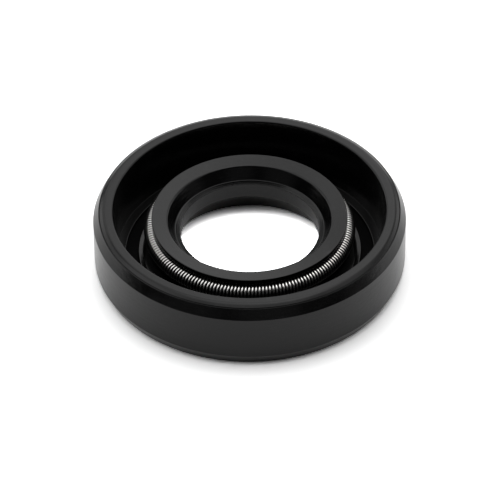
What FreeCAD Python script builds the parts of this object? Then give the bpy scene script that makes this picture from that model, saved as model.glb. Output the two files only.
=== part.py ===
import FreeCAD, Part
import math
import os
import Sketcher

# Radial shaft seal for a 17 mm shaft in a 35 mm housing bore, 8 mm wide.
# Millimetres. Origin at the centre of the flat air-side face, +Z along the axis to the spring side.

doc = FreeCAD.newDocument("radial_shaft_seal")
sheet = doc.addObject("Spreadsheet::Sheet", "Sizes")

sizes = [
    # Outer wall, from the flat face up to the rim
    ("outer_diameter", 35.0),
    ("width", 8.0),
    ("foot_bevel_depth", 0.6),
    ("foot_bevel_height", 1.3),
    ("shoulder_depth", 0.65),
    ("shoulder_height", 1.11),
    ("rim_chamfer_width", 0.55),
    ("rim_chamfer_height", 0.37),
    ("rim_outer_rounding", 0.7),
    ("rim_thickness", 2.22),
    ("rim_inner_rounding", 0.2),
    # Cavity floor, from the outer wall in to the waist of the lip
    ("cavity_draft", 0.28),
    ("cavity_corner_rounding", 0.1),
    ("ledge_width", 1.05),
    ("ledge_thickness", 0.4),
    ("window_width", 1.38),
    ("root_bead_width", 0.6),
    ("root_bead_height", 0.52),
    ("hollow_cover", 0.3),
    ("hollow_slope", 10.0),
    ("hollow_rounding", 2.08),
    # Spring, set out from the waist
    ("spring_offset", 0.67),
    ("spring_height", 4.92),
    ("coil_diameter", 1.9),
    ("wire_diameter", 0.369),
    ("groove_clearance", 0.04),
    ("groove_upper_angle", 95.0),
    ("groove_lower_angle", 250.0),
    # Lip, set out from the spring's centre line
    ("lip_thickness", 3.12),
    ("lip_drop", 0.03),
    ("land_height", 1.81),
    ("flare_width", 2.02),
    ("trim_width", 0.58),
    ("trim_rise", 0.13),
    ("mouth_bevel_width", 0.82),
    ("crown_overhang", 0.05),
    ("crown_rise", 1.76),
    ("crown_slope", 0.24),
    ("crown_edge_height", 0.55),
    ("crown_inner_rounding", 0.3),
    # Steel insert, set in from the rubber's outside
    ("sheet_thickness", 0.8),
    ("bend_inner_radius", 0.3),
    ("insert_foot_cover", 0.4),
    ("insert_side_cover", 0.8),
    ("insert_top_cover", 1.4),
    ("insert_waist_cover", 0.55),
]
for row, (alias, value) in enumerate(sizes, start=1):
    sheet.set("A%d" % row, alias.replace("_", " "))
    sheet.set("B%d" % row, str(value))
    sheet.setAlias("B%d" % row, alias)
doc.recompute()


def size(expression):
    """Value of an expression on the sheet."""
    return float(sheet.evalExpression(expression))


def origin_plane(body, role):
    return next(o for o in body.Origin.OriginFeatures if o.Role == role)


def section_sketch(body, name, corners):
    """Closed half section. A corner is (radius, height) or (radius, height, arc radius, turn, sweep).

    The last three shape the run to the next corner: turn is 1 for anticlockwise, -1 for clockwise,
    and the sweep in degrees is left out where the arc is half a turn at most.
    """
    sketch = body.newObject("Sketcher::SketchObject", name)
    sketch.AttachmentSupport = (origin_plane(body, "XZ_Plane"), "")
    sketch.MapMode = "FlatFace"
    spots = [FreeCAD.Vector(size(c[0]), size(c[1]), 0) for c in corners]
    ends = []
    for i, corner in enumerate(corners):
        start = spots[i]
        end = spots[(i + 1) % len(spots)]
        if len(corner) == 2:
            geometry = sketch.addGeometry(Part.LineSegment(start, end))
            ends.append((geometry, 1, 2))
            continue
        turn = corner[3]
        wide = len(corner) == 5 and size(corner[4]) > 180
        arc = arc_between(start, end, size(corner[2]), turn, wide)
        geometry = sketch.addGeometry(arc)
        ends.append((geometry, 1, 2) if turn > 0 else (geometry, 2, 1))
        index = sketch.addConstraint(Sketcher.Constraint("Radius", geometry, size(corner[2])))
        sketch.setExpression("Constraints[%d]" % index, corner[2])
    for i, corner in enumerate(corners):
        geometry, first, last = ends[i]
        following = ends[(i + 1) % len(ends)]
        sketch.addConstraint(Sketcher.Constraint("Coincident", geometry, last, following[0], following[1]))
        for kind, expression in (("DistanceX", corner[0]), ("DistanceY", corner[1])):
            if size(expression) == 0:
                sketch.addConstraint(Sketcher.Constraint("PointOnObject", geometry, first, -1))
                continue
            index = sketch.addConstraint(Sketcher.Constraint(kind, -1, 1, geometry, first, size(expression)))
            sketch.setExpression("Constraints[%d]" % index, expression)
    return sketch


def arc_between(start, end, radius, turn, wide):
    """Arc of a radius from start to end. A wide one is more than half a turn."""
    chord = end - start
    half = chord.Length / 2
    rise = math.sqrt(max(radius * radius - half * half, 0.0))
    side = FreeCAD.Vector(-chord.y, chord.x, 0).normalize()
    centre = start + chord * 0.5 + side * rise * (-turn if wide else turn)
    first, last = (start, end) if turn > 0 else (end, start)
    circle = Part.Circle(centre, FreeCAD.Vector(0, 0, 1), radius)
    a = math.atan2(first.y - centre.y, first.x - centre.x)
    b = math.atan2(last.y - centre.y, last.x - centre.x)
    return Part.ArcOfCircle(circle, a, b)


def turned(body, kind, name, sketch):
    """Full turn of a section about the axis: a Revolution adds it, a Groove cuts it."""
    feature = body.newObject(kind, name)
    feature.Profile = sketch
    feature.ReferenceAxis = (sketch, ["V_Axis"])
    feature.Angle = 360
    doc.recompute()
    return feature


def rounded(body, base, name, radius, radial, height):
    """Fillet on the circular edge of base at this radius and height."""
    r = size(radial)
    z = size(height)
    reach = 1e-4
    found = []
    for number, edge in enumerate(base.Shape.Edges, start=1):
        box = edge.BoundBox
        if abs(box.ZMin - z) < reach and abs(box.ZMax - z) < reach and abs(box.XMax - r) < reach:
            found.append("Edge%d" % number)
    fillet = body.newObject("PartDesign::Fillet", name)
    fillet.Base = (base, found)
    fillet.setExpression("Radius", radius)
    doc.recompute()
    return fillet


# Radii and heights that follow from the sizes, from the outer wall inwards
outside = "Sizes.outer_diameter / 2"
rim_outer = outside + " - Sizes.shoulder_depth - Sizes.rim_chamfer_width"
rim_inner = outside + " - Sizes.rim_thickness"
cavity_floor = rim_inner + " - Sizes.cavity_draft"
window_outer = cavity_floor + " - Sizes.ledge_width"
window_inner = window_outer + " - Sizes.window_width"
bead_inner = window_inner + " - Sizes.root_bead_width"
waist = bead_inner + " - Sizes.hollow_rounding * (1 - sin(Sizes.hollow_slope))"
coil_centre = waist + " + Sizes.spring_offset"
lip = coil_centre + " - Sizes.lip_thickness"
trim = lip + " + Sizes.trim_width"
crown_inner = trim + " + Sizes.mouth_bevel_width"
crown_outer = coil_centre + " + Sizes.crown_overhang"
chamfer_foot = "Sizes.width - Sizes.rim_chamfer_height"
steel_top = "Sizes.insert_foot_cover + Sizes.sheet_thickness"
ledge = steel_top + " + Sizes.ledge_thickness"
bead_side = steel_top + " + Sizes.root_bead_height"
hollow_floor = steel_top + " + Sizes.hollow_cover"
hollow_top = hollow_floor + " + Sizes.hollow_rounding * cos(Sizes.hollow_slope)"
lip_height = "Sizes.spring_height - Sizes.lip_drop"
crown_top = "Sizes.spring_height + Sizes.crown_rise"
crown_inner_top = crown_top + " - Sizes.crown_slope"
groove_radius = "Sizes.coil_diameter / 2 + Sizes.groove_clearance"


def insert_section(body, name):
    """L section of the pressed ring: used for the ring and for its seat in the rubber."""
    outer = outside + " - Sizes.insert_side_cover"
    inner = waist + " + Sizes.insert_waist_cover"
    low = "Sizes.insert_foot_cover"
    top = "Sizes.width - Sizes.insert_top_cover"
    wall = outer + " - Sizes.sheet_thickness"
    outer_bend = "Sizes.bend_inner_radius + Sizes.sheet_thickness"
    inner_bend = "Sizes.bend_inner_radius"
    corners = [
        (inner, low),
        (outer + " - (" + outer_bend + ")", low, outer_bend, 1),
        (outer, low + " + " + outer_bend),
        (outer, top),
        (wall, top),
        (wall, steel_top + " + " + inner_bend, inner_bend, -1),
        (wall + " - " + inner_bend, steel_top),
        (inner, steel_top),
    ]
    return section_sketch(body, name, corners)


# Rubber moulding
rubber = doc.addObject("PartDesign::Body", "rubber_body")
outline = [
    (outside + " - Sizes.foot_bevel_depth", "0"),
    (outside, "Sizes.foot_bevel_height"),
    (outside, chamfer_foot + " - Sizes.shoulder_height"),
    (outside + " - Sizes.shoulder_depth", chamfer_foot),
    (rim_outer, "Sizes.width"),
    (rim_inner, "Sizes.width"),
    (cavity_floor, ledge),
    (window_outer, ledge),
    (window_outer, steel_top),
    (window_inner, steel_top),
    (window_inner, bead_side, "Sizes.root_bead_width / 2", 1),
    (bead_inner, bead_side),
    (bead_inner, hollow_floor, "Sizes.hollow_rounding", -1),
    (waist, hollow_top),
    (
        coil_centre + " + (" + groove_radius + ") * cos(Sizes.groove_lower_angle)",
        "Sizes.spring_height + (" + groove_radius + ") * sin(Sizes.groove_lower_angle)",
        groove_radius,
        -1,
        "Sizes.groove_lower_angle - Sizes.groove_upper_angle",
    ),
    (
        coil_centre + " + (" + groove_radius + ") * cos(Sizes.groove_upper_angle)",
        "Sizes.spring_height + (" + groove_radius + ") * sin(Sizes.groove_upper_angle)",
    ),
    (crown_outer, crown_top + " - Sizes.crown_edge_height"),
    (crown_outer, crown_top),
    (crown_inner, crown_inner_top),
    (trim, lip_height + " + Sizes.trim_rise"),
    (lip, lip_height),
    (lip, lip_height + " - Sizes.land_height"),
    (lip + " + Sizes.flare_width", "0"),
]
moulding = turned(rubber, "PartDesign::Revolution", "moulding", section_sketch(rubber, "moulding_section", outline))
solid_volume = moulding.Shape.Volume
seat_cut = turned(rubber, "PartDesign::Groove", "insert_seat", insert_section(rubber, "insert_seat_section"))
rim_outer_edge = rounded(
    rubber, seat_cut, "rim_outer_edge", "Sizes.rim_outer_rounding", rim_outer, "Sizes.width"
)
rim_inner_edge = rounded(
    rubber, rim_outer_edge, "rim_inner_edge", "Sizes.rim_inner_rounding", rim_inner, "Sizes.width"
)
cavity_corner = rounded(
    rubber, rim_inner_edge, "cavity_corner", "Sizes.cavity_corner_rounding", cavity_floor, ledge
)
crown_inner_edge = rounded(
    rubber, cavity_corner, "crown_inner_edge", "Sizes.crown_inner_rounding", crown_inner, crown_inner_top
)
rubber.Tip = crown_inner_edge

# Pressed steel ring
insert = doc.addObject("PartDesign::Body", "steel_insert")
ring = turned(insert, "PartDesign::Revolution", "pressed_ring", insert_section(insert, "ring_section"))
insert.Tip = ring

# Closed coil spring. The turns touch, so their number is the ring's length over the wire.
# Each turn is a ridge between two valleys, where the wire's round flanks meet.
spring = doc.addObject("Part::Feature", "garter_spring")
spring_radius = size(coil_centre)
crest_radius = size("Sizes.coil_diameter") / 2
valley_radius = crest_radius - size("Sizes.wire_diameter") / 2
turn_count = int(round(2 * math.pi * spring_radius / size("Sizes.wire_diameter")))
coil_sides = 8


def coil_ring(azimuth, radius):
    """Polygon round the coil's centre line, in the radial plane at this azimuth."""
    outward = FreeCAD.Vector(math.cos(azimuth), math.sin(azimuth), 0)
    points = []
    for side in range(coil_sides):
        angle = 2 * math.pi * (side + 0.5) / coil_sides
        height = FreeCAD.Vector(0, 0, radius * math.sin(angle))
        points.append(outward * (spring_radius + radius * math.cos(angle)) + height)
    edges = []
    for side in range(coil_sides):
        edges.append(Part.LineSegment(points[side], points[(side + 1) % coil_sides]).toShape())
    return edges


coil_rings = []
for step in range(2 * turn_count):
    azimuth = math.pi * step / turn_count
    coil_rings.append(coil_ring(azimuth, crest_radius if step % 2 == 0 else valley_radius))
flanks = []
for step, near in enumerate(coil_rings):
    far = coil_rings[(step + 1) % len(coil_rings)]
    for side in range(coil_sides):
        flanks.append(Part.makeRuledSurface(near[side], far[side]))
spring.Shape = Part.Solid(Part.Shell(flanks))
spring.setExpression("Placement.Base.z", "Sizes.spring_height")
doc.recompute()

# Checks before anything is written
for item in doc.Objects:
    if "Invalid" in item.State or "Error" in item.State:
        raise RuntimeError("%s failed: %s" % (item.Label, item.State))
if seat_cut.Shape.Volume >= solid_volume:
    raise RuntimeError("the insert's seat was not cut")
pieces = [rubber, insert, spring]
for piece in pieces:
    if piece.Shape.isNull() or not piece.Shape.isValid():
        raise RuntimeError("%s has no valid shape" % piece.Label)

os.makedirs("parts", exist_ok=True)
for piece in pieces:
    piece.Shape.exportStep("parts/%s.step" % piece.Label)
    print(piece.Label, "%.2f mm3" % piece.Shape.Volume, len(piece.Shape.Solids), "solid")
print(turn_count, "spring turns")
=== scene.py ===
import bpy
import numpy as np
from mathutils import Matrix, Vector


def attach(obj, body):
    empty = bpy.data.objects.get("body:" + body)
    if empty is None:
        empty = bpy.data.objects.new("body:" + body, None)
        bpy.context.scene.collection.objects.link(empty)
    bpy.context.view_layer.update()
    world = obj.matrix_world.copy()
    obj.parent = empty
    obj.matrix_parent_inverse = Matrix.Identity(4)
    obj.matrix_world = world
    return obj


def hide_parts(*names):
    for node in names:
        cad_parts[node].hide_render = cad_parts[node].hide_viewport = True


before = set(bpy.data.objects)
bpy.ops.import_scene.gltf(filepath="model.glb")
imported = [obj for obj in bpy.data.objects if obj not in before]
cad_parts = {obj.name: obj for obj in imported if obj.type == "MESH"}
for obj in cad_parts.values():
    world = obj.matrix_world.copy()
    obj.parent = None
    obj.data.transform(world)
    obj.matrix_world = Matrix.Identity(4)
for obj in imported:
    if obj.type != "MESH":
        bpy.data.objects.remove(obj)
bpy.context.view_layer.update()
mm = 0.001

# what the seal is made to, in millimetres
seal = {
    "outerRadius": 17.5,
    "width": 8.0,
    "footBevelDepth": 0.6,
    "footBevelHeight": 1.3,
    "footRounding": 0.12,
    "wallRounding": 0.15,
    "shoulderDepth": 0.65,
    "shoulderHeight": 1.11,
    "shoulderRounding": 0.12,
    "rimChamferWidth": 0.55,
    "rimChamferHeight": 0.37,
    "rimOuterRounding": 0.7,
    "rimInnerRadius": 15.28,
    "rimInnerRounding": 0.2,
    "cavityFloorRadius": 15.0,
    "cavityCornerRounding": 0.03,
    "ledgeHeight": 1.6,
    "windowOuterRadius": 13.95,
    "windowEdgeRounding": 0.12,
    "windowInnerRadius": 12.57,
    "steelTop": 1.2,
    "steelEdgeRounding": 0.02,
    "beadWidth": 0.6,
    "beadTop": 2.05,
    "beadFall": 0.07,
    "beadRounding": 0.1,
    "hollowFloor": 1.5,
    "hollowSlope": 10.0,
    "hollowRounding": 2.08,
    "hollowStartAngle": -97.0,
    "hollowEndAngle": -180.0,
    "grooveRadius": 0.99,
    "grooveLowerAngle": 250.0,
    "grooveUpperAngle": 95.0,
    "crownOuterRadius": 10.97,
    "crownOuterHeight": 6.68,
    "crownEdgeHeight": 0.55,
    "crownOuterRounding": 0.08,
    "crownInnerRadius": 9.2,
    "crownInnerHeight": 6.44,
    "crownInnerRounding": 0.3,
    "trimRadius": 8.38,
    "trimHeight": 5.02,
    "lipRadius": 7.8,
    "lipHeight": 4.89,
    "lipEdgeDrop": 0.04,
    "lipEdgeRounding": 0.03,
    "landFootHeight": 3.08,
    "airSideRadius": 9.82,
    "airSideRounding": 0.1,
    "edgeRounding": 0.05,
    "aroundCount": 300,
    # mould line at the foot of the rim's chamfer, from the shoulder inwards: radius, height, rounding
    "mouldLine": [
        (16.89, 7.65, 0.03), (16.845, 7.69, 0.02), (16.79, 7.6, 0.02), (16.735, 7.715, 0.03),
    ],
    # fine steps that trimming left between the mouth's bevel and the lip's edge
    "trimSteps": [
        (8.29, 5.02, 0.03), (8.165, 4.865, 0.02), (8.12, 4.93, 0.012), (8.09, 4.93, 0.012),
        (8.0, 4.82, 0.02), (7.95, 4.875, 0.012), (7.92, 4.875, 0.012), (7.86, 4.81, 0.02),
    ],
}

# how the section is cut up: distances in millimetres, and numbers of points
split = {
    "samePlace": 0.00001,
    "longRun": 0.24,
    "support": 0.06,
    "edgePoints": 4,
    "roundPoints": 9,
    "hollowPoints": 21,
    "groovePoints": 25,
}

# seat of the steel ring inside the rubber
insertSeat = {
    "cover": 0.4,
    "sheet": 0.8,
    "outerRadius": 16.7,
    "innerRadius": 10.8,
    "height": 6.2,
    "bendInnerRadius": 0.3,
}


def cornerPoints(before, corner, after, rounding, count):
    # arc tangent to both runs: its ends lie rounding * tan(half the turn) from the corner
    a = (before - corner) / np.linalg.norm(before - corner)
    b = (after - corner) / np.linalg.norm(after - corner)
    halfTurn = (np.pi - np.arccos(np.clip(a @ b, -1, 1))) / 2
    reach = rounding * np.tan(halfTurn)
    middle = (a + b) / np.linalg.norm(a + b)
    centre = corner + middle * rounding / np.cos(halfTurn)
    start = corner + a * reach - centre
    end = corner + b * reach - centre
    # turn the first spoke towards the second in equal steps
    angle = np.linspace(0, 1, count)[:, None] * 2 * halfTurn
    across = end - start * np.cos(2 * halfTurn)
    across = across / np.linalg.norm(across) * rounding
    return centre + start * np.cos(angle) + across * np.sin(angle)


def arcPoints(centre, radius, firstAngle, lastAngle, count):
    # circle arc from the first to the last angle, in degrees
    angle = np.radians(np.linspace(firstAngle, lastAngle, count))
    return np.array(centre) + radius * np.stack([np.cos(angle), np.sin(angle)], axis=1)


def closedProfile(runs, edgeRounding):
    # runs is a list of corners (radius, height, rounding) and of arc arrays, in order round the section
    anchors = [r if isinstance(r, np.ndarray) else np.array([r[:2]]) for r in runs]
    pieces = []
    for i, run in enumerate(runs):
        if isinstance(run, np.ndarray):
            pieces.append(run)
            continue
        before = anchors[i - 1][-1]
        after = anchors[(i + 1) % len(runs)][0]
        rounding = run[2] if len(run) == 3 else edgeRounding
        count = split["edgePoints"] if rounding <= edgeRounding else split["roundPoints"]
        pieces.append(cornerPoints(before, anchors[i][0], after, rounding, count))
    points = [pieces[0][0]]
    for point in np.concatenate(pieces + [pieces[0][:1]])[1:]:
        gap = point - points[-1]
        length = np.linalg.norm(gap)
        if length < split["samePlace"]:
            continue
        if length > split["longRun"]:
            # a point close to each end keeps a flat run flat up to its rounding
            step = gap * split["support"] / length
            points.append(points[-1] + step)
            points.append(point - step)
        points.append(point)
    return np.array(points[:-1])


def turnedSurface(name, profile, aroundCount):
    # every profile point (r, z) goes round the axis: (r cos t, r sin t, z) on a grid of angle and point
    angle = np.arange(aroundCount) * 2 * np.pi / aroundCount
    x = np.cos(angle)[:, None] * profile[None, :, 0]
    y = np.sin(angle)[:, None] * profile[None, :, 0]
    z = np.broadcast_to(profile[None, :, 1], x.shape)
    return gridMesh(name, np.stack([x, y, z], axis=-1) * mm)


def gridMesh(name, grid):
    # closed both ways: the last row and column join the first
    rows, columns = grid.shape[:2]
    index = np.arange(rows * columns).reshape(rows, columns)
    nextRow = np.roll(index, -1, axis=0)
    nextColumn = np.roll(index, -1, axis=1)
    corner = np.roll(nextRow, -1, axis=1)
    faces = np.stack([index, nextRow, corner, nextColumn], axis=-1).reshape(-1, 4)
    mesh = bpy.data.meshes.new(name)
    mesh.from_pydata(grid.reshape(-1, 3), [], faces.tolist())
    mesh.shade_smooth()
    mesh.update()
    piece = bpy.data.objects.new(name, mesh)
    bpy.context.scene.collection.objects.link(piece)
    return piece


def insertSeatRuns():
    s = insertSeat
    low = s["cover"]
    top = s["cover"] + s["height"]
    seat = s["cover"] + s["sheet"]
    wall = s["outerRadius"] - s["sheet"]
    bend = s["bendInnerRadius"]
    return [
        (s["innerRadius"], seat),
        (s["innerRadius"], low),
        (s["outerRadius"], low, bend + s["sheet"]),
        (s["outerRadius"], top),
        (wall, top),
        (wall, seat, bend),
    ]


def buildRubber():
    s = seal
    coil = (garter["ringRadius"], garter["height"])
    beadInner = s["windowInnerRadius"] - s["beadWidth"]
    slope = np.radians(s["hollowSlope"])
    hollow = (
        beadInner + s["hollowRounding"] * np.sin(slope),
        s["hollowFloor"] + s["hollowRounding"] * np.cos(slope),
    )
    chamferFoot = s["width"] - s["rimChamferHeight"]
    shoulder = s["outerRadius"] - s["shoulderDepth"]
    seat = insertSeatRuns()
    hollowArc = arcPoints(
        hollow, s["hollowRounding"], s["hollowStartAngle"], s["hollowEndAngle"], split["hollowPoints"]
    )
    grooveArc = arcPoints(
        coil, s["grooveRadius"], s["grooveLowerAngle"], s["grooveUpperAngle"], split["groovePoints"]
    )
    runs = [
        (s["outerRadius"] - s["footBevelDepth"], 0.0, s["footRounding"]),
        (s["outerRadius"], s["footBevelHeight"], s["wallRounding"]),
        (s["outerRadius"], chamferFoot - s["shoulderHeight"], s["shoulderRounding"]),
        *s["mouldLine"],
        (shoulder - s["rimChamferWidth"], s["width"], s["rimOuterRounding"]),
        (s["rimInnerRadius"], s["width"], s["rimInnerRounding"]),
        (s["cavityFloorRadius"], s["ledgeHeight"], s["cavityCornerRounding"]),
        (s["windowOuterRadius"], s["ledgeHeight"], s["windowEdgeRounding"]),
        (s["windowOuterRadius"], s["steelTop"], s["steelEdgeRounding"]),
        *reversed(seat[1:]),
        seat[0],
        (s["windowInnerRadius"], s["steelTop"], s["steelEdgeRounding"]),
        (s["windowInnerRadius"], s["beadTop"], s["beadRounding"]),
        (beadInner, s["beadTop"] - s["beadFall"], s["beadRounding"]),
        (beadInner, s["hollowFloor"]),
        hollowArc,
        grooveArc,
        (s["crownOuterRadius"], s["crownOuterHeight"] - s["crownEdgeHeight"]),
        (s["crownOuterRadius"], s["crownOuterHeight"], s["crownOuterRounding"]),
        (s["crownInnerRadius"], s["crownInnerHeight"], s["crownInnerRounding"]),
        (s["trimRadius"], s["trimHeight"]),
        *s["trimSteps"],
        (s["lipRadius"], s["lipHeight"] - s["lipEdgeDrop"], s["lipEdgeRounding"]),
        (s["lipRadius"], s["landFootHeight"]),
        (s["airSideRadius"], 0.0, s["airSideRounding"]),
    ]
    profile = closedProfile(runs, s["edgeRounding"])
    piece = turnedSurface("rubber_skin", profile, s["aroundCount"])
    print("rubber:", len(profile), "points in the section")
    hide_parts("rubber_body")
    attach(piece, "root")
    return piece


# the garter spring: one wire wound in touching turns, its ends joined
garter = {
    "ringRadius": 10.92,
    "height": 4.92,
    "coilRadius": 0.95,
    "wireRadius": 0.1845,
    "turns": 186,
    "stepsPerTurn": 28,
    "sides": 8,
}


def buildSpring():
    g = garter
    steps = g["turns"] * g["stepsPerTurn"]
    along = np.arange(steps) * 2 * np.pi / steps
    wind = along * g["turns"]
    centreRadius = g["coilRadius"] - g["wireRadius"]

    def wirePath(t, w):
        # point on a circle of centreRadius that is itself carried round the ring
        radial = g["ringRadius"] + centreRadius * np.cos(w)
        height = g["height"] + centreRadius * np.sin(w)
        return np.stack([radial * np.cos(t), radial * np.sin(t), height], axis=-1)

    path = wirePath(along, wind)
    tangent = np.roll(path, -1, axis=0) - np.roll(path, 1, axis=0)
    tangent /= np.linalg.norm(tangent, axis=1)[:, None]
    # outward from the coil's centre line, squared up to the wire
    level = np.full(steps, g["height"])
    centreLine = np.stack([g["ringRadius"] * np.cos(along), g["ringRadius"] * np.sin(along), level], axis=-1)
    outward = path - centreLine
    outward -= (outward * tangent).sum(axis=1)[:, None] * tangent
    outward /= np.linalg.norm(outward, axis=1)[:, None]
    sideways = np.cross(tangent, outward)
    # round section: wireRadius * (outward cos a + sideways sin a) about each point of the path
    a = np.arange(g["sides"]) * 2 * np.pi / g["sides"]
    ring = outward[:, None] * np.cos(a)[None, :, None] + sideways[:, None] * np.sin(a)[None, :, None]
    grid = (path[:, None] + g["wireRadius"] * ring) * mm
    piece = gridMesh("garter_spring_wire", grid)
    print("spring:", g["turns"], "turns,", grid.shape[0] * grid.shape[1] * 2, "triangles")
    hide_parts("garter_spring")
    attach(piece, "root")
    return piece


# shader sockets that add their own Math nodes
class Value:
    def __init__(self, nodes, socket):
        self.nodes = nodes
        self.socket = socket

    def math(self, operation, first, second=None):
        node = self.nodes.add("ShaderNodeMath", {"operation": operation})
        for number, item in enumerate((first, second)):
            if item is not None:
                self.nodes.join(item, node.inputs[number])
        return Value(self.nodes, node.outputs[0])

    def __add__(self, other):
        return self.math("ADD", self, other)

    __radd__ = __add__

    def __mul__(self, other):
        return self.math("MULTIPLY", self, other)

    __rmul__ = __mul__

    def __sub__(self, other):
        return self.math("SUBTRACT", self, other)

    def __rsub__(self, other):
        return self.math("SUBTRACT", other, self)

    def __truediv__(self, other):
        return self.math("DIVIDE", self, other)

    def root(self):
        return self.math("SQRT", self)

    def clamped(self):
        return self.math("MINIMUM", self.math("MAXIMUM", self, 0.0), 1.0)


class Nodes:
    def __init__(self, tree):
        self.tree = tree
        self.tree.nodes.clear()

    def add(self, kind, settings=None, sockets=None):
        # settings first, because they change which sockets a node has
        node = self.tree.nodes.new(kind)
        for name, value in (settings or {}).items():
            setattr(node, name, value)
        for name, value in (sockets or {}).items():
            self.join(value, node.inputs[name])
        return node

    def join(self, item, target):
        if isinstance(item, Value):
            self.tree.links.new(item.socket, target)
        elif isinstance(item, bpy.types.NodeSocket):
            self.tree.links.new(item, target)
        else:
            target.default_value = item

    def value(self, socket):
        return Value(self, socket)

    def place(self):
        # a point's place on its object, whole and as x, y and z
        whole = self.add("ShaderNodeTexCoord").outputs["Object"]
        parts = self.add("ShaderNodeSeparateXYZ", {}, {"Vector": whole}).outputs
        return whole, [self.value(parts[name]) for name in "XYZ"]

    def surface(self, shader, kind="ShaderNodeOutputMaterial"):
        output = self.add(kind)
        self.join(shader.outputs[0], output.inputs["Surface"])

    def ramp(self, factor, stops):
        # smooth step from one stop to the next
        node = self.add("ShaderNodeMapRange", {"interpolation_type": "SMOOTHSTEP"}, {
            "Value": factor,
            "From Min": stops[0][0],
            "From Max": stops[1][0],
            "To Min": stops[0][1],
            "To Max": stops[1][1],
        })
        return Value(self, node.outputs[0])

    def noise(self, vector, scale, detail, roughness=0.5):
        node = self.add("ShaderNodeTexNoise", {}, {
            "Vector": vector,
            "Scale": scale,
            "Detail": detail,
            "Roughness": roughness,
        })
        return Value(self, node.outputs[0])


def newMaterial(name):
    material = bpy.data.materials.new(name)
    material.use_nodes = True
    return material, Nodes(material.node_tree)


rubberFinish = {
    "color": (0.0013, 0.0013, 0.0014, 1.0),
    "roughness": 0.18,
    "roughnessSpread": 0.05,
    "specular": 0.30,
    "grainScale": 2600.0,
    "grainSpread": 0.06,
    "grainDepth": 0.000006,
    "patchScale": 420.0,
    # flow marks: repeats round the ring for one radian, and across it for one metre
    "flowRound": 7.0,
    "flowAcross": 2600.0,
    "flowSpread": 0.12,
    # relief of the flow marks and the patches, with the grain's as one
    "flowRelief": 1.6,
    "patchRelief": 2.0,
    "dustColor": (0.01, 0.01, 0.0104, 1.0),
    "dustScale": 1500.0,
    "dustRoughness": 0.7,
    "dustShare": 0.6,
    "dustFrom": 0.55,
    "dustTo": 0.7,
}


def rubberMaterial():
    # satin moulded rubber: cloudy sheen from the mould, flow marks round the ring, a fine grain and dust
    f = rubberFinish
    material, nodes = newMaterial("moulded_rubber")
    place, (x, y, z) = nodes.place()
    patches = nodes.noise(place, f["patchScale"], 3.0)
    grain = nodes.noise(place, f["grainScale"], 2.0)
    # the flow's place: the point on the unit circle, drawn out round the ring, and radius plus height
    radius = (x * x + y * y).root()
    flowPlace = nodes.add("ShaderNodeCombineXYZ", {}, {
        "X": x / radius * f["flowRound"],
        "Y": y / radius * f["flowRound"],
        "Z": (radius + z) * f["flowAcross"],
    })
    flow = nodes.noise(flowPlace.outputs[0], 1.0, 2.0)
    roughness = f["roughness"] + (patches - 0.5) * f["roughnessSpread"] + (grain - 0.5) * f["grainSpread"]
    roughness = roughness + (flow - 0.5) * f["flowSpread"]
    relief = grain + flow * f["flowRelief"] + patches * f["patchRelief"]
    bump = nodes.add("ShaderNodeBump", {}, {"Strength": 1.0, "Distance": f["grainDepth"], "Height": relief})
    specks = nodes.noise(place, f["dustScale"], 4.0, f["dustRoughness"])
    dust = specks * f["dustShare"] + patches * (1 - f["dustShare"])
    color = nodes.add("ShaderNodeMix", {"data_type": "RGBA"}, {
        "Factor": nodes.ramp(dust, [(f["dustFrom"], 0.0), (f["dustTo"], 1.0)]),
        6: f["color"],
        7: f["dustColor"],
    })
    shader = nodes.add("ShaderNodeBsdfPrincipled", {}, {
        "Base Color": color.outputs[2],
        "Roughness": roughness,
        "Specular IOR Level": f["specular"],
        "Normal": bump.outputs[0],
    })
    nodes.surface(shader)
    return material


springFinish = {
    "color": (0.97, 0.955, 0.93, 1.0),
    "paintedShadeColor": (0.02, 0.019, 0.018, 1.0),
    "roughness": 0.24,
    "streakScale": 900.0,
    "streakSpread": 0.12,
    # painted shade between the turns: dark below the first distance from the coil's centre line, bright
    # above the second, in millimetres
    "paintedShadeFrom": 0.88,
    "paintedShadeTo": 0.96,
}


def springMaterial():
    # bright drawn wire with painted shade down between the turns, faintly streaked
    f = springFinish
    material, nodes = newMaterial("spring_wire")
    place, (x, y, z) = nodes.place()
    # distance of a point from the coil's centre line
    aside = (x * x + y * y).root() - garter["ringRadius"] * mm
    above = z - garter["height"] * mm
    reach = (aside * aside + above * above).root()
    # painted shade: the wire's colour goes dark towards the crevices between the turns
    clearOfPaintedShade = nodes.ramp(reach, [(f["paintedShadeFrom"] * mm, 0.0), (f["paintedShadeTo"] * mm, 1.0)])
    color = nodes.add("ShaderNodeMix", {"data_type": "RGBA"}, {
        "Factor": clearOfPaintedShade,
        6: f["paintedShadeColor"],
        7: f["color"],
    })
    streaks = nodes.noise(place, f["streakScale"], 2.0)
    shader = nodes.add("ShaderNodeBsdfPrincipled", {}, {
        "Base Color": color.outputs[2],
        "Metallic": 1.0,
        "Roughness": f["roughness"] + (streaks - 0.5) * f["streakSpread"],
    })
    nodes.surface(shader)
    return material


insertFinish = {
    # near black: partly the steel's own dark finish, partly painted shade of the groove
    "color": (0.003, 0.003, 0.0032, 1.0),
    "roughness": 0.45,
    "specular": 0.02,
    "grainScale": 1500.0,
    "grainSpread": 0.2,
}


def insertMaterial():
    # dark phosphated sheet steel, its colour taken down to near black as painted shade of the deep groove it
    # lies in
    f = insertFinish
    material, nodes = newMaterial("phosphated_steel_and_painted_shade")
    place = nodes.add("ShaderNodeTexCoord").outputs["Object"]
    grain = nodes.noise(place, f["grainScale"], 3.0)
    shader = nodes.add("ShaderNodeBsdfPrincipled", {}, {
        "Base Color": f["color"],
        "Specular IOR Level": f["specular"],
        "Roughness": f["roughness"] + (grain - 0.5) * f["grainSpread"],
    })
    nodes.surface(shader)
    return material


def wear(piece, material):
    piece.data.materials.clear()
    piece.data.materials.append(material)


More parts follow.
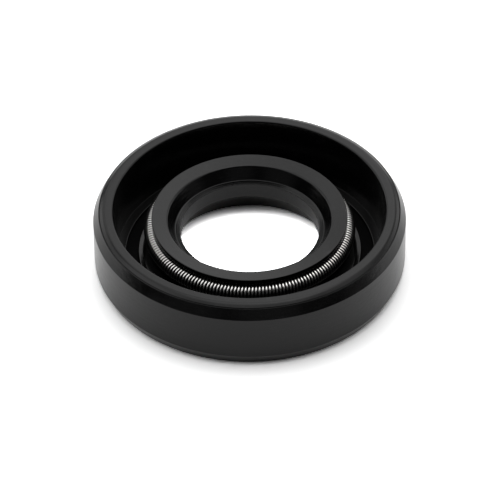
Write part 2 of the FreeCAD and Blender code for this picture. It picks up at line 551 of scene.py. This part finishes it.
floor = {
    # half a side in metres
    "halfSide": 3.0,
    "seenColor": 1.28,
    "cameraLift": 0.55,
    "ownColor": 0.8,
    # through the bore only a little light reaches the floor, so the colour seen there is lifted,
    # out to three radii in millimetres
    "boreLift": 0.9,
    "boreEdgeLift": 8.5,
    "boreFrom": 4.0,
    "boreTo": 8.6,
    "boreEnd": 10.5,
}


def buildFloor():
    half = floor["halfSide"]
    corners = [(-half, -half, 0), (half, -half, 0), (half, half, 0), (-half, half, 0)]
    mesh = bpy.data.meshes.new("floor")
    mesh.from_pydata(corners, [], [(0, 1, 2, 3)])
    piece = bpy.data.objects.new("floor", mesh)
    bpy.context.scene.collection.objects.link(piece)
    material, nodes = newMaterial("white_floor")
    # white where it is seen or mirrored, a plain pale colour where it lights the seal
    path = nodes.add("ShaderNodeLightPath").outputs
    seen = nodes.value(path["Is Camera Ray"]) + nodes.value(path["Is Glossy Ray"])
    seen = (seen + nodes.value(path["Is Transmission Ray"])).clamped()
    x, y = nodes.place()[1][:2]
    radius = (x * x + y * y).root()
    lift = nodes.ramp(radius, [(floor["boreFrom"] * mm, 0.0), (floor["boreTo"] * mm, floor["boreEdgeLift"])])
    lift = lift + floor["boreLift"]
    lift = lift * nodes.ramp(radius, [(floor["boreTo"] * mm, 1.0), (floor["boreEnd"] * mm, 0.0)])
    level = floor["ownColor"] + seen * (floor["seenColor"] - floor["ownColor"])
    level = level + (lift + floor["cameraLift"]) * nodes.value(path["Is Camera Ray"])
    grey = nodes.add("ShaderNodeCombineColor", {}, {"Red": level, "Green": level, "Blue": level})
    shader = nodes.add("ShaderNodeBsdfDiffuse", {}, {"Color": grey.outputs[0]})
    nodes.surface(shader)
    wear(piece, material)


# soft round cards of light round the seal: azimuth, elevation, half width in degrees, and strength
studio = {
    # share of a card's half width over which it fades out
    "softness": 0.9,
    "mapSize": 512,
    "cards": [
        (0, 8, 32, 0.13),
        (30, 8, 32, 1.29),
        (60, 8, 32, 0.31),
        (90, 8, 32, 0.25),
        (150, 8, 32, 1.38),
        (122, 24, 20, 0.7),
        (138, 46, 26, 0.55),
        (230, 12, 32, 0.14),
        (280, 5, 30, 0.18),
        (315, 10, 34, 0.05),
        (0, 34, 32, 0.32),
        (60, 34, 32, 0.35),
        (82, 24, 18, 0.35),
        (90, 34, 32, 0.74),
        (180, 42, 30, 1.2),
        (0, 60, 32, 0.67),
        (45, 60, 32, 0.48),
        (90, 60, 32, 0.9),
        (180, 60, 32, 0.38),
        (225, 60, 32, 0.1),
        (0, 90, 32, 1.5),
    ],
}


def lightStudio():
    world = bpy.data.worlds.new("studio")
    world.use_nodes = True
    world.cycles.sampling_method = "MANUAL"
    world.cycles.sample_map_resolution = studio["mapSize"]
    bpy.context.scene.world = world
    nodes = Nodes(world.node_tree)
    direction = nodes.add("ShaderNodeTexCoord").outputs["Generated"]
    level = 0.0
    for azimuth, elevation, halfWidth, strength in studio["cards"]:
        turn = np.radians(azimuth)
        up = np.radians(elevation)
        towards = (np.cos(up) * np.cos(turn), np.cos(up) * np.sin(turn), np.sin(up))
        facing = nodes.add("ShaderNodeVectorMath", {"operation": "DOT_PRODUCT"}, {0: direction, 1: towards})
        edge = np.cos(np.radians(halfWidth))
        core = np.cos(np.radians(halfWidth * (1 - studio["softness"])))
        level = level + nodes.ramp(facing.outputs["Value"], [(edge, 0.0), (core, strength)])
    background = nodes.add("ShaderNodeBackground", {}, {"Color": (1, 1, 1, 1), "Strength": level})
    nodes.surface(background, "ShaderNodeOutputWorld")


# the photographer's place: a long lens a little over 40 degrees up
# millimetres and degrees, but the two clips are metres
view = {
    "aim": (0.016, 0.0, 1.684),
    "distance": 420.0,
    "elevation": 40.569,
    "roll": -0.611,
    "focalPixels": 3726.3,
    "imagePixels": 500.0,
    "sensorWidth": 36.0,
    "clipStart": 0.01,
    "clipEnd": 20.0,
}


def placeCamera():
    up = np.radians(view["elevation"])
    roll = np.radians(view["roll"])
    aim = Vector(view["aim"]) * mm
    place = aim + view["distance"] * mm * Vector((0, -np.cos(up), np.sin(up)))
    forward = (aim - place).normalized()
    right = forward.cross(Vector((0, 0, 1))).normalized()
    top = right.cross(forward)
    rolledRight = np.cos(roll) * right + np.sin(roll) * top
    rolledTop = np.cos(roll) * top - np.sin(roll) * right
    turn = Matrix((rolledRight, rolledTop, -forward)).transposed()
    data = bpy.data.cameras.new("camera")
    data.sensor_fit = "HORIZONTAL"
    data.sensor_width = view["sensorWidth"]
    data.lens = view["focalPixels"] * view["sensorWidth"] / view["imagePixels"]
    data.clip_start = view["clipStart"]
    data.clip_end = view["clipEnd"]
    camera = bpy.data.objects.new("camera", data)
    camera.matrix_world = Matrix.Translation(place) @ turn.to_4x4()
    bpy.context.scene.collection.objects.link(camera)
    bpy.context.scene.camera = camera


wear(buildRubber(), rubberMaterial())
wear(buildSpring(), springMaterial())
wear(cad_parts["steel_insert"], insertMaterial())
print("pieces and materials are made")

buildFloor()
lightStudio()
placeCamera()
bpy.context.scene.view_settings.view_transform = "Standard"
print("floor, light and camera are set")
